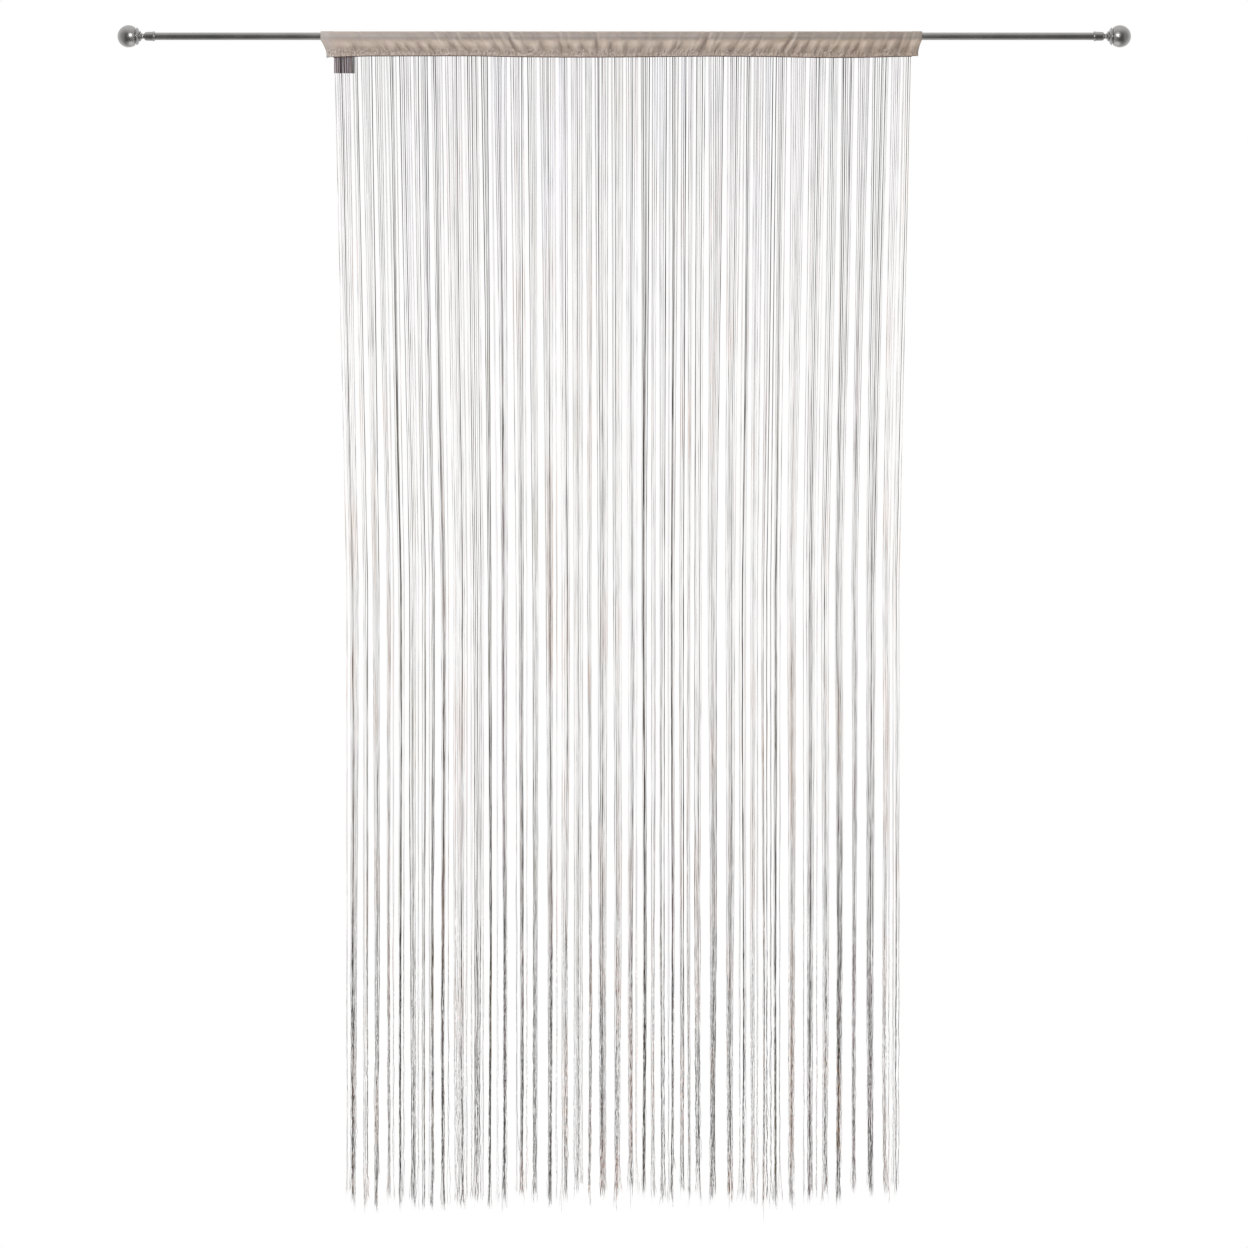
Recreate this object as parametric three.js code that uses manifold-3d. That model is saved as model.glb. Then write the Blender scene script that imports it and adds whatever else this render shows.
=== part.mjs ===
// String curtain on its rod.
// A satin band is folded over a straight metal rod and stitched shut along its lower edge. A woven tape with
// the long strings is sewn between the band's two lower edges. Turned collars and ball finials close the rod.
// Millimetres. The origin is on the rod's axis at mid-length, +X runs along the rod, the front faces -Y.
import * as THREE from "three";
import { mergeVertices } from "three/addons/utils/BufferGeometryUtils.js";
import Module from "manifold-3d";

const wasm = await Module();
wasm.setup();

const { lerp, clamp, degToRad } = THREE.MathUtils;

// Gap kept between pieces that touch
const FIT = 0.35;

// Rod, a straight tube
const ROD_RADIUS = 6.5;
const ROD_WALL = 1.0;
const ROD_HALF_LENGTH = 819;
const TURNED_SIDES = 20;

// Finial, measured along the rod from the ball's centre towards the rod
const BALL_RADIUS = 19;
const BALL_CENTRE = 850;
const BALL_STEPS = 7;
const BALL_ENDS_AT = 53;
const NECK_RADIUS = 4.3;
const NECK_END = 26;
const SPIGOT_RADIUS = 3;
const SPIGOT_END = 30.4;
const FINIAL_MOULDING = [
  { along: 11.7, radius: 13.0 },
  { along: 13.0, radius: 12.9 },
  { along: 13.4, radius: 15.0 },
  { along: 14.8, radius: 14.9 },
  { along: 17.6, radius: 12.0 },
  { along: 18.5, radius: 8.4 },
  { along: 20.2, radius: 9.1 },
  { along: 23.0, radius: NECK_RADIUS },
];

// Collar that joins the finial to the rod, measured the same way
const COLLAR_OUTLINE = [
  { along: 29.7, radius: 7.6 },
  { along: 42.0, radius: 7.9 },
  { along: 42.4, radius: 8.5 },
  { along: 44.2, radius: 8.5 },
];
const COLLAR_END = 44.8;
const COLLAR_LIP_RADIUS = 8.0;

// Heading, the band round the rod
const CLOTH = 1.4;
const HEADING_LEFT = -510.5;
const HEADING_RIGHT = 504;
const POCKET_RADIUS = 7.1;
const WRAP_ANGLES = [60, 30, 0, -15];
const WALL_HEIGHTS = [-8, -14.5, -21];
const SEAM_TOP = -27;
const SEAM = -28.4;
const SEAM_HALF = 2.1;
const SLOT_TOP = -30;
const FLAP_BOTTOM = -34.3;
const SLOT_HALF = 1.15;
const BACK_SHARE = 0.7;
const TROUGH_SHARE = -0.45;
const LEAN_TOP = -6;
const GATHER_TOP = -3;

// Gathers along the seam: the crest's place and how far it stands proud of the front
const GATHERS = [
  { x: -474, out: 0.8 }, { x: -439, out: 0.7 }, { x: -397, out: 1.1 }, { x: -374, out: 0.9 },
  { x: -356, out: 1.2 }, { x: -337, out: 1.5 }, { x: -309, out: 1.3 }, { x: -278, out: 1.3 },
  { x: -252, out: 1.1 }, { x: -229, out: 1.3 }, { x: -206, out: 1.1 }, { x: -174, out: 1.6 },
  { x: -150, out: 1.7 }, { x: -122, out: 1.0 }, { x: -81, out: 1.5 }, { x: -57, out: 1.2 },
  { x: -33, out: 1.5 }, { x: -6, out: 1.5 }, { x: 20, out: 1.0 }, { x: 44, out: 0.9 },
  { x: 75, out: 1.3 }, { x: 114, out: 1.3 }, { x: 145, out: 1.7 }, { x: 169, out: 1.1 },
  { x: 197, out: 0.9 }, { x: 216, out: 1.3 }, { x: 236, out: 1.0 }, { x: 260, out: 1.1 },
  { x: 279, out: 1.5 }, { x: 297, out: 1.2 }, { x: 319, out: 1.3 }, { x: 350, out: 1.1 },
  { x: 370, out: 1.4 }, { x: 406, out: 1.5 }, { x: 433, out: 0.8 }, { x: 453, out: 1.4 },
  { x: 488, out: 1.3 },
];

// How far the creases lean: sideways for each step up
const LEANS = [
  { x: -510, lean: -0.45 }, { x: -460, lean: -0.2 }, { x: -400, lean: -0.55 }, { x: -200, lean: -0.6 },
  { x: -120, lean: -0.25 }, { x: 0, lean: 0 }, { x: 60, lean: 0.3 }, { x: 140, lean: 0.45 },
  { x: 280, lean: 0.6 }, { x: 400, lean: 0.45 }, { x: 504, lean: 0.3 },
];

// How far the lower edge rides above or below its usual height
const EDGE_WAVES = [
  { x: -510, rise: -0.8 }, { x: -440, rise: 1.3 }, { x: -260, rise: 1.6 }, { x: -190, rise: 0.1 },
  { x: -100, rise: -0.7 }, { x: 0, rise: -0.4 }, { x: 60, rise: 0.3 }, { x: 150, rise: 1.0 },
  { x: 250, rise: 0.4 }, { x: 330, rise: -1.3 }, { x: 400, rise: -1.2 }, { x: 450, rise: 0.1 },
  { x: 504, rise: 1.1 },
];

// Tape that carries the strings
const TAPE_HALF = 0.8;
const TAPE_TOP = -30.4;
const TAPE_BOTTOM = -35.2;
const TAPE_LEFT = -500;
const TAPE_RIGHT = 493;
const TAPE_STEPS = 24;

// Strings
const STRING_COUNT = 240;
const STRING_RADIUS = 0.7;
const STRING_LEFT = -498.4;
const STRING_RIGHT = 491.6;
const STRING_LEVELS = [-180, -520, -1150];
const STRING_END = -1985;
const ROOT_DEPTH = 1.6;

// Strings drift together into bunches as they fall
const BUNCH_LEAST = 3;
const BUNCH_SPREAD = 6;
const BUNCH_LAYERS = 3;
const BUNCH_PITCH = 0.66;
const LAYER_DEPTH = 2.0;
const SWAY = 1.5;

// The fall over which a string joins its bunch: short for the inner ones and long for the outer ones
const JOIN_FALL = { least: 200, most: 1050 };
const JOIN_BEND = { least: 0.7, most: 2.2 };

// How fully strings are drawn in: most bunches are tight, some stay slack, and some outer strings stray
const TIGHT_PULL = { least: 0.9, most: 1.0 };
const SLACK_PULL = { least: 0.3, most: 0.6 };
const STRAY_PULL = { least: 0.05, most: 0.35 };
const SLACK_SHARE = 0.15;
const STRAY_SHARE = 0.45;
const LEAST_SWAY_SHARE = 0.3;
const SWAY_FALL = 190;
const NARROWING = 0.04;
const NARROWING_FALL = 900;
const DEPTH_DRIFT = 4;
const DRIFT_WIDTH = 140;
const DRIFT_FALL = 620;

// The cut ends follow a wavy line: longer or shorter than the usual string
const CUT_LINE = [
  { x: -500, rise: 0 }, { x: -450, rise: -14 }, { x: -360, rise: -17 }, { x: -260, rise: -10 },
  { x: -130, rise: 0 }, { x: -40, rise: 8 }, { x: 100, rise: -2 }, { x: 260, rise: -14 },
  { x: 330, rise: -10 }, { x: 400, rise: 9 }, { x: 492, rise: 10 },
];
const CUT_BY_BUNCH = 9;
const CUT_BY_STRING = 9;

// Label, sewn behind the tape at the left end
const LABEL_WIDTH = 35.4;
const LABEL_CENTRE = -480.3;
const LABEL_THICKNESS = 1;
const LABEL_TOP = -29.5;
const LABEL_BOTTOM = -63;
const LABEL_STEPS = 5;
const LABEL_CURL = 2.2;

// Finishes
const SATIN_METAL = { color: 0x8f8d8b, roughness: 0.35, metalness: 1 };
const TAUPE_SATIN = { color: 0xa7998c, roughness: 0.75, metalness: 0 };
const GREY_YARN = { color: 0x77716d, roughness: 0.85, metalness: 0 };
const DARK_LABEL = { color: 0x675b5e, roughness: 0.7, metalness: 0 };

// A repeatable number from 0 to 1 for each whole number
function chance(n) {
  const v = Math.sin(n * 12.9898) * 43758.5453;
  return v - Math.floor(v);
}

// A table's column at x, on straight lines between its rows
function along(table, column, x) {
  if (x <= table[0].x) return table[0][column];
  const next = table.findIndex((row) => row.x >= x);
  if (next < 0) return table[table.length - 1][column];
  const a = table[next - 1];
  const b = table[next];
  return lerp(a[column], b[column], (x - a.x) / (b.x - a.x));
}

const edgeRise = (x) => along(EDGE_WAVES, "rise", x);

// One closed body over a row of like sections. A section has an outer loop of points and may have an inner
// one, which runs the same way round. flat gives a point's place in the plane of the two end faces.
function loft(sections, flat) {
  const points = [];
  const faces = [];
  const place = (loop) => loop.map((point) => points.push(point) - 1);
  const rows = sections.map(({ outer, inner = [] }) => ({ outer: place(outer), inner: place(inner) }));

  const wall = (from, to, turned) => {
    for (let i = 0; i < from.length; i++) {
      const j = (i + 1) % from.length;
      const [p, q] = turned ? [j, i] : [i, j];
      faces.push([from[p], from[q], to[p]], [to[p], from[q], to[q]]);
    }
  };
  for (let s = 0; s + 1 < rows.length; s++) {
    wall(rows[s].outer, rows[s + 1].outer, false);
    wall(rows[s].inner, rows[s + 1].inner, true);
  }

  const endFace = (row, side) => {
    const ids = [...row.outer, ...row.inner];
    const contour = row.outer.map((id) => flat(points[id]));
    const holes = row.inner.length ? [row.inner.map((id) => flat(points[id]))] : [];
    const triangles = THREE.ShapeUtils.triangulateShape(contour, holes);
    const corners = triangles.map((triangle) => triangle.map((n) => ids[n]));
    const area = corners.reduce((sum, abc) => sum + THREE.ShapeUtils.area(abc.map((id) => flat(points[id]))), 0);
    const keeps = Math.sign(area) === side * Math.sign(THREE.ShapeUtils.area(contour));
    for (const [a, b, c] of corners) faces.push(keeps ? [a, b, c] : [a, c, b]);
  };
  endFace(rows[0], -1);
  endFace(rows[rows.length - 1], 1);

  return facingOut(points, faces);
}

// Geometry of a closed body, turned so that its faces point out
function facingOut(points, faces) {
  const volume = faces.reduce((sum, [a, b, c]) => {
    return sum + points[a].dot(new THREE.Vector3().crossVectors(points[b], points[c]));
  }, 0);
  const ordered = volume > 0 ? faces : faces.map(([a, b, c]) => [a, c, b]);
  const geometry = new THREE.BufferGeometry().setFromPoints(points);
  geometry.setIndex(ordered.flat());
  return geometry;
}

const inRodPlane = (point) => new THREE.Vector2(point.y, point.z);
const inFloorPlane = (point) => new THREE.Vector2(point.x, point.y);

// A turned piece from its profile of along and radius rows
function turned(profile) {
  const outline = profile.map(({ along: y, radius }) => new THREE.Vector2(radius, y));
  const geometry = new THREE.LatheGeometry(outline, TURNED_SIDES);
  geometry.deleteAttribute("normal");
  geometry.deleteAttribute("uv");
  return mergeVertices(geometry);
}

function rodGeometry() {
  const bore = ROD_RADIUS - ROD_WALL;
  return turned([
    { along: -ROD_HALF_LENGTH, radius: bore },
    { along: -ROD_HALF_LENGTH, radius: ROD_RADIUS },
    { along: ROD_HALF_LENGTH, radius: ROD_RADIUS },
    { along: ROD_HALF_LENGTH, radius: bore },
    { along: -ROD_HALF_LENGTH, radius: bore },
  ]);
}

function finialGeometry() {
  const ball = [];
  for (let step = 0; step <= BALL_STEPS; step++) {
    const angle = degToRad(lerp(180, BALL_ENDS_AT, step / BALL_STEPS));
    const radius = step === 0 ? 0 : BALL_RADIUS * Math.sin(angle);
    ball.push({ along: BALL_RADIUS * Math.cos(angle), radius });
  }
  return turned([
    ...ball,
    ...FINIAL_MOULDING,
    { along: NECK_END, radius: NECK_RADIUS },
    { along: NECK_END, radius: SPIGOT_RADIUS },
    { along: SPIGOT_END, radius: SPIGOT_RADIUS },
    { along: SPIGOT_END, radius: 0 },
  ]);
}

function collarGeometry() {
  const front = NECK_END + FIT;
  const hole = SPIGOT_RADIUS + FIT;
  const socket = ROD_RADIUS + FIT;
  const socketFloor = BALL_CENTRE - ROD_HALF_LENGTH - FIT;
  return turned([
    { along: front, radius: hole },
    { along: front, radius: NECK_RADIUS },
    ...COLLAR_OUTLINE,
    { along: COLLAR_END, radius: COLLAR_LIP_RADIUS },
    { along: COLLAR_END, radius: socket },
    { along: socketFloor, radius: socket },
    { along: socketFloor, radius: hole },
    { along: front, radius: hole },
  ]);
}

// Share of a gather's height at each level: none on the rod and at the seam, most of it between them
function gatherShare(z) {
  const t = clamp((z - GATHER_TOP) / (SEAM - GATHER_TOP), 0, 1);
  return Math.sin(Math.PI * t) ** 0.8;
}

// One section of the heading at a station along the seam. out is how far the cloth stands proud there.
function headingSection(x, out) {
  const lean = along(LEANS, "lean", x);
  const rise = edgeRise(x);
  const at = (side, y, z) => {
    const proud = (side < 0 ? 1 : BACK_SHARE) * out * gatherShare(z);
    const sideways = lean * (clamp(z, SEAM, LEAN_TOP) - SEAM);
    const lift = rise * clamp(z / SEAM, 0, 1);
    return new THREE.Vector3(x + sideways, side * (y + proud), z + lift);
  };
  const wrap = (side, radius) => WRAP_ANGLES.map((angle) => {
    const turn = degToRad(angle);
    return at(side, radius * Math.cos(turn), radius * Math.sin(turn));
  });

  const outerRadius = POCKET_RADIUS + CLOTH;
  const low = degToRad(WRAP_ANGLES[WRAP_ANGLES.length - 1]);
  const wallTop = { y: outerRadius * Math.cos(low), z: outerRadius * Math.sin(low) };
  const wallAt = (z) => lerp(wallTop.y, SEAM_HALF, (z - wallTop.z) / (SEAM - wallTop.z));

  const outerSide = (side) => [
    ...wrap(side, outerRadius),
    ...WALL_HEIGHTS.map((z) => at(side, wallAt(z), z)),
    at(side, SEAM_HALF, SEAM),
    at(side, SLOT_HALF + CLOTH, FLAP_BOTTOM),
    at(side, SLOT_HALF, FLAP_BOTTOM),
    at(side, SLOT_HALF, SLOT_TOP),
  ];
  const innerSide = (side) => [
    ...wrap(side, POCKET_RADIUS),
    ...WALL_HEIGHTS.map((z) => at(side, wallAt(z) - CLOTH, z)),
  ];
  return {
    outer: [at(-1, 0, outerRadius), ...outerSide(-1), ...outerSide(1).reverse()],
    inner: [at(-1, 0, POCKET_RADIUS), ...innerSide(-1), at(-1, 0, SEAM_TOP), ...innerSide(1).reverse()],
  };
}

function headingGeometry() {
  const stations = [{ x: HEADING_LEFT, out: 0 }];
  GATHERS.forEach((gather, i) => {
    stations.push(gather);
    const next = GATHERS[i + 1];
    if (next) {
      stations.push({ x: (gather.x + next.x) / 2, out: TROUGH_SHARE * (gather.out + next.out) });
    }
  });
  stations.push({ x: HEADING_RIGHT, out: 0 });
  return loft(stations.map(({ x, out }) => headingSection(x, out)), inRodPlane);
}

function tapeGeometry() {
  const sections = [];
  for (let step = 0; step <= TAPE_STEPS; step++) {
    const x = lerp(TAPE_LEFT, TAPE_RIGHT, step / TAPE_STEPS);
    const rise = edgeRise(x);
    const corner = (y, z) => new THREE.Vector3(x, y, z + rise);
    sections.push({
      outer: [
        corner(-TAPE_HALF, TAPE_TOP),
        corner(-TAPE_HALF, TAPE_BOTTOM),
        corner(TAPE_HALF, TAPE_BOTTOM),
        corner(TAPE_HALF, TAPE_TOP),
      ],
    });
  }
  return loft(sections, inRodPlane);
}

const between = ({ least, most }, share) => lerp(least, most, share);

// All strings in order from the left, each with its bunch and its own small differences
function stringTable() {
  const strings = [];
  for (let bunch = 0; strings.length < STRING_COUNT; bunch++) {
    const wanted = BUNCH_LEAST + Math.floor(BUNCH_SPREAD * chance(bunch + 1));
    const size = Math.min(wanted, STRING_COUNT - strings.length);
    const first = strings.length;
    const bunchPull = chance(bunch + 450) < SLACK_SHARE ? SLACK_PULL : TIGHT_PULL;
    const bend = between(JOIN_BEND, chance(bunch + 750));
    const rootOf = (n) => lerp(STRING_LEFT, STRING_RIGHT, n / (STRING_COUNT - 1));
    for (let k = 0; k < size; k++) {
      const outermost = (k === 0 && chance(bunch + 300) < STRAY_SHARE)
        || (k === size - 1 && chance(bunch + 350) < STRAY_SHARE);
      const stray = size > 2 && outermost;
      const place = k - (size - 1) / 2;
      strings.push({
        root: rootOf(first + k),
        centre: (rootOf(first) + rootOf(first + size - 1)) / 2,
        place,
        fall: between(JOIN_FALL, Math.abs((2 * place) / size) ** bend),
        layer: ((first + k) % BUNCH_LAYERS) - 1,
        pull: stray
          ? between(STRAY_PULL, chance(first + k + 2100))
          : between(bunchPull, chance(bunch + 600)),
        sway: SWAY * lerp(LEAST_SWAY_SHARE, 1, chance(bunch + 900)),
        phase: 2 * Math.PI * chance(bunch + 1200),
        cut: lerp(-CUT_BY_BUNCH, CUT_BY_BUNCH, chance(bunch + 1500))
          + lerp(-CUT_BY_STRING, CUT_BY_STRING, chance(first + k + 1800)),
      });
    }
  }
  return strings;
}

// Where a string's middle is at height z
function stringPoint(string, z) {
  const fall = Math.max(TAPE_BOTTOM - z, 0);
  const gathered = 1 - Math.exp(-fall / string.fall);
  const sway = string.sway * Math.sin(fall / SWAY_FALL + string.phase);
  const bunched = string.centre + BUNCH_PITCH * string.place + sway;
  const x = lerp(string.root, bunched, string.pull * gathered);
  const narrowed = 1 - NARROWING * Math.min(fall / NARROWING_FALL, 1);
  const drift = DEPTH_DRIFT * (fall / -STRING_END) * Math.sin(x / DRIFT_WIDTH + fall / DRIFT_FALL);
  return new THREE.Vector3(x * narrowed, string.layer * LAYER_DEPTH * gathered + drift, z);
}

// The middles of a string's sections, from its root inside the tape to its cut end
function stringMiddles(string) {
  const root = new THREE.Vector3(string.root, 0, TAPE_BOTTOM + edgeRise(string.root) + ROOT_DEPTH);
  const end = STRING_END + along(CUT_LINE, "rise", string.root) + string.cut;
  return [root, ...[...STRING_LEVELS, end].map((z) => stringPoint(string, z))];
}

function stringGeometry(string) {
  const sections = stringMiddles(string).map((middle) => ({
    outer: [0, 1, 2].map((corner) => {
      const turn = (corner * 2 * Math.PI) / 3 + Math.PI / 2;
      const spoke = new THREE.Vector3(Math.cos(turn), Math.sin(turn), 0);
      return spoke.multiplyScalar(STRING_RADIUS).add(middle);
    }),
  }));
  return loft(sections, inFloorPlane);
}

function labelGeometry() {
  const front = SLOT_HALF + CLOTH + FIT;
  const sections = [];
  for (let step = 0; step <= LABEL_STEPS; step++) {
    const t = step / LABEL_STEPS;
    const y = front + LABEL_CURL * t * t;
    const z = lerp(LABEL_TOP, LABEL_BOTTOM, t);
    const left = LABEL_CENTRE - LABEL_WIDTH / 2;
    const right = LABEL_CENTRE + LABEL_WIDTH / 2;
    sections.push({
      outer: [
        new THREE.Vector3(left, y, z),
        new THREE.Vector3(right, y, z),
        new THREE.Vector3(right, y + LABEL_THICKNESS, z),
        new THREE.Vector3(left, y + LABEL_THICKNESS, z),
      ],
    });
  }
  return loft(sections, inFloorPlane);
}

function toSolid(geometry) {
  const vertProperties = new Float32Array(geometry.attributes.position.array);
  const triVerts = new Uint32Array(geometry.index.array);
  return new wasm.Manifold(new wasm.Mesh({ numProp: 3, vertProperties, triVerts }));
}

function fromSolid(solid) {
  const { vertProperties, triVerts } = solid.getMesh();
  const geometry = new THREE.BufferGeometry();
  geometry.setAttribute("position", new THREE.BufferAttribute(vertProperties, 3));
  geometry.setIndex(new THREE.BufferAttribute(triVerts, 1));
  return geometry;
}

// The tape with every string fused to it by its root
function fringeGeometry() {
  let fringe = toSolid(tapeGeometry());
  for (const string of stringTable()) fringe = fringe.add(toSolid(stringGeometry(string)));
  return fromSolid(fringe);
}

function mesh(name, geometry, finish) {
  const piece = new THREE.Mesh(geometry, new THREE.MeshStandardMaterial(finish));
  piece.name = name;
  return piece;
}

const curtain = new THREE.Group();
curtain.add(mesh("heading", headingGeometry(), TAUPE_SATIN));
curtain.add(mesh("string_fringe", fringeGeometry(), GREY_YARN));
curtain.add(mesh("sewn_label", labelGeometry(), DARK_LABEL));

const rod = mesh("rod_tube", rodGeometry(), SATIN_METAL);
rod.rotation.z = Math.PI / 2;
curtain.add(rod);

for (const { side, end } of [{ side: "left", end: -1 }, { side: "right", end: 1 }]) {
  const rodEnd = new THREE.Group();
  rodEnd.position.x = end * BALL_CENTRE;
  rodEnd.rotation.z = (end * Math.PI) / 2;
  rodEnd.add(mesh(`ferrule_${side}`, collarGeometry(), SATIN_METAL));
  rodEnd.add(mesh(`finial_${side}`, finialGeometry(), SATIN_METAL));
  curtain.add(rodEnd);
}

export default curtain;
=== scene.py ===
import math

import bmesh
import bpy
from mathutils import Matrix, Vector, noise


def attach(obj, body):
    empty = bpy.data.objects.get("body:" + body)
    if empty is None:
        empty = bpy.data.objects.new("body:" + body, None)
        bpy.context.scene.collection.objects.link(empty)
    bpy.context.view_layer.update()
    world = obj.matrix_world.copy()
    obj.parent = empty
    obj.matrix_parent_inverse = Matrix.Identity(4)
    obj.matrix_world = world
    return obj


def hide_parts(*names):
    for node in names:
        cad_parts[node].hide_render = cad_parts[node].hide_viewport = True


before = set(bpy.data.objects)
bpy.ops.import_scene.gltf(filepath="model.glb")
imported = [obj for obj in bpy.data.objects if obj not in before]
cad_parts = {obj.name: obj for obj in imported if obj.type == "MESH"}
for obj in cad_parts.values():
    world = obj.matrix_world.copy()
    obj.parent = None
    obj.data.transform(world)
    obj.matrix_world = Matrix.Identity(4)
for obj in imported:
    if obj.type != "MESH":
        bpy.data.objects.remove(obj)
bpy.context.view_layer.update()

# Sizes below are in millimetres, as in a maker's drawing, and every mesh is scaled to metres as it is
# finished. Shaders read metres.
MM = 0.001


# Camera and studio: a long lens straight in front at the middle of the drop, a white surround that is
# bright above and behind and dim in front, soft fill from both sides, and a pale floor below the ends.
SENSOR_WIDTH = 36
PICTURE_WIDTH = 2140.3
CAMERA_DISTANCE = 11000
PICTURE_MIDDLE = (-0.4, -1007.9)
FARTHEST_SEEN = 60000

view = bpy.data.cameras.new("studio_camera")
view.sensor_width = SENSOR_WIDTH
view.lens = SENSOR_WIDTH * CAMERA_DISTANCE / PICTURE_WIDTH
view.clip_end = FARTHEST_SEEN * MM
camera = bpy.data.objects.new("studio_camera", view)
camera.location = (PICTURE_MIDDLE[0] * MM, -CAMERA_DISTANCE * MM, PICTURE_MIDDLE[1] * MM)
camera.rotation_euler = (math.radians(90), 0, 0)
bpy.context.scene.collection.objects.link(camera)
bpy.context.scene.camera = camera
bpy.context.scene.view_settings.view_transform = "Standard"
bpy.context.scene.view_settings.look = "None"


class Tone:
    """A shader socket that takes part in sums: each sum adds its Math node."""

    def __init__(self, finish, socket):
        self.finish = finish
        self.socket = socket

    def sum(self, operation, first, second):
        return self.finish.add("ShaderNodeMath", {"operation": operation}, {0: first, 1: second})

    def __add__(self, other):
        return self.sum("ADD", self, other)

    def __radd__(self, other):
        return self.sum("ADD", other, self)

    def __sub__(self, other):
        return self.sum("SUBTRACT", self, other)

    def __rsub__(self, other):
        return self.sum("SUBTRACT", other, self)

    def __mul__(self, other):
        return self.sum("MULTIPLY", self, other)

    def __rmul__(self, other):
        return self.sum("MULTIPLY", other, self)

    def sine(self):
        return self.sum("SINE", self, 0)

    def size(self):
        return self.sum("ABSOLUTE", self, 0)

    def bearing(self, other):
        """The angle of a direction that has this and the other as its two parts."""
        return self.sum("ARCTAN2", self, other)

    def waves(self, pitch):
        """Even waves from -1 to 1 along a length in metres, with their pitch in millimetres."""
        return (self * (math.tau / (pitch * MM))).sine()

    def rise(self, low, high):
        """0 below low, 1 above high, and a soft step between; high may be the lower one."""
        return self.finish.add(
            "ShaderNodeMapRange",
            {"interpolation_type": "SMOOTHSTEP"},
            {"Value": self, "From Min": low, "From Max": high},
        )


class Finish:
    """The nodes of one material, or of the studio's surround."""

    def __init__(self, tree):
        self.tree = tree

    def add(self, kind, settings, sockets, out=0):
        node = self.tree.nodes.new(kind)
        for name, value in settings.items():
            setattr(node, name, value)
        for name, value in sockets.items():
            self.put(node.inputs[name], value)
        return Tone(self, node.outputs[out])

    def put(self, socket, value):
        if isinstance(value, Tone):
            self.tree.links.new(value.socket, socket)
        elif isinstance(value, tuple) and socket.type == "RGBA":
            socket.default_value = (*value, 1)
        else:
            socket.default_value = value

    def blend(self, share, first, second, blend_type="MIX"):
        settings = {"data_type": "RGBA", "blend_type": blend_type}
        return self.add("ShaderNodeMix", settings, {0: share, 6: first, 7: second}, out=2)

    def place(self):
        return self.add("ShaderNodeTexCoord", {}, {}, out="Object")

    def carried(self, attribute, out):
        return self.add("ShaderNodeAttribute", {"attribute_name": attribute}, {}, out=out)

    def mottle(self, vector, scale, detail=2.0):
        """Cloudy noise. A scale of three numbers stretches it by a different one along each axis."""
        if isinstance(scale, tuple):
            vector = self.add("ShaderNodeMapping", {}, {"Vector": vector, "Scale": scale})
            scale = 1.0
        return self.add("ShaderNodeTexNoise", {}, {"Vector": vector, "Scale": scale, "Detail": detail})

    def parts(self, vector):
        split = self.add("ShaderNodeSeparateXYZ", {}, {"Vector": vector})
        return [Tone(self, split.socket.node.outputs[n]) for n in range(3)]

    def relief(self, height, strength, depth):
        """Fine relief that only the light picks up, with its depth in millimetres."""
        return self.add(
            "ShaderNodeBump", {}, {"Strength": strength, "Distance": depth * MM, "Height": height})


SURROUND_TOP = 0.82
SURROUND_BACK = 0.85
SURROUND_FRONT = 0.05
SURROUND_SIDES = 0.34
SURROUND_LOW = 0.30

surround = bpy.data.worlds.new("studio_surround")
surround.use_nodes = True
bpy.context.scene.world = surround
sky = Finish(surround.node_tree)
across, depth, height = sky.parts(sky.add("ShaderNodeTexCoord", {}, {}, out="Generated"))
front = sky.blend(across.size().rise(0.42, 0.80), (SURROUND_FRONT,) * 3, (SURROUND_SIDES,) * 3)
around = sky.blend(depth.rise(-0.30, 0.60), front, (SURROUND_BACK,) * 3)
lowered = sky.blend(height.rise(-0.70, -1.0), around, (SURROUND_LOW,) * 3)
lit = sky.blend(height.rise(0.28, 1.15), lowered, (SURROUND_TOP,) * 3)
seen = sky.add("ShaderNodeLightPath", {}, {}, out="Is Camera Ray")
sky.put(surround.node_tree.nodes["Background"].inputs["Color"], sky.blend(seen, lit, (1.0, 1.0, 1.0)))

LAMPS_AIM_AT = Vector((0, 0, -0.6))
LAMPS = [
    {"name": "softbox", "at": (0.0, -1.8, 0.25), "size": 0.75, "power": 13, "shines": True},
    {"name": "key_left", "at": (-2.2, -2.4, 0.9), "size": 0.8, "power": 58, "shines": False},
    {"name": "fill_right", "at": (2.6, -3.4, -1.0), "size": 2.2, "power": 30, "shines": False},
]
for row in LAMPS:
    lamp = bpy.data.lights.new(row["name"], "AREA")
    lamp.size = row["size"]
    lamp.energy = row["power"]
    stand = bpy.data.objects.new(row["name"], lamp)
    stand.location = row["at"]
    aim = LAMPS_AIM_AT - Vector(row["at"])
    stand.rotation_euler = aim.to_track_quat("-Z", "Y").to_euler()
    stand.visible_camera = False
    stand.visible_glossy = row["shines"]
    bpy.context.scene.collection.objects.link(stand)

FLOOR_RADIUS = 1000
FLOOR_LEVEL = -2100
FLOOR_SIDES = 96


def new_material(name):
    material = bpy.data.materials.new(name)
    material.use_nodes = True
    return material, Finish(material.node_tree), material.node_tree.nodes["Principled BSDF"].inputs


def finish_piece(name, shape, material, node=None, slot=None, smooth=True):
    """Makes an object of a bmesh in millimetres, in metres and with its material, and lets it ride."""
    bmesh.ops.scale(shape, vec=(MM, MM, MM), verts=shape.verts)
    for face in shape.faces:
        face.smooth = smooth
    mesh = bpy.data.meshes.new(name)
    shape.to_mesh(mesh)
    shape.free()
    mesh.materials.append(material)
    piece = bpy.data.objects.new(name, mesh)
    bpy.context.scene.collection.objects.link(piece)
    if slot:
        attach(piece, "root")
    if node:
        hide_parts(node)
    return piece


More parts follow.
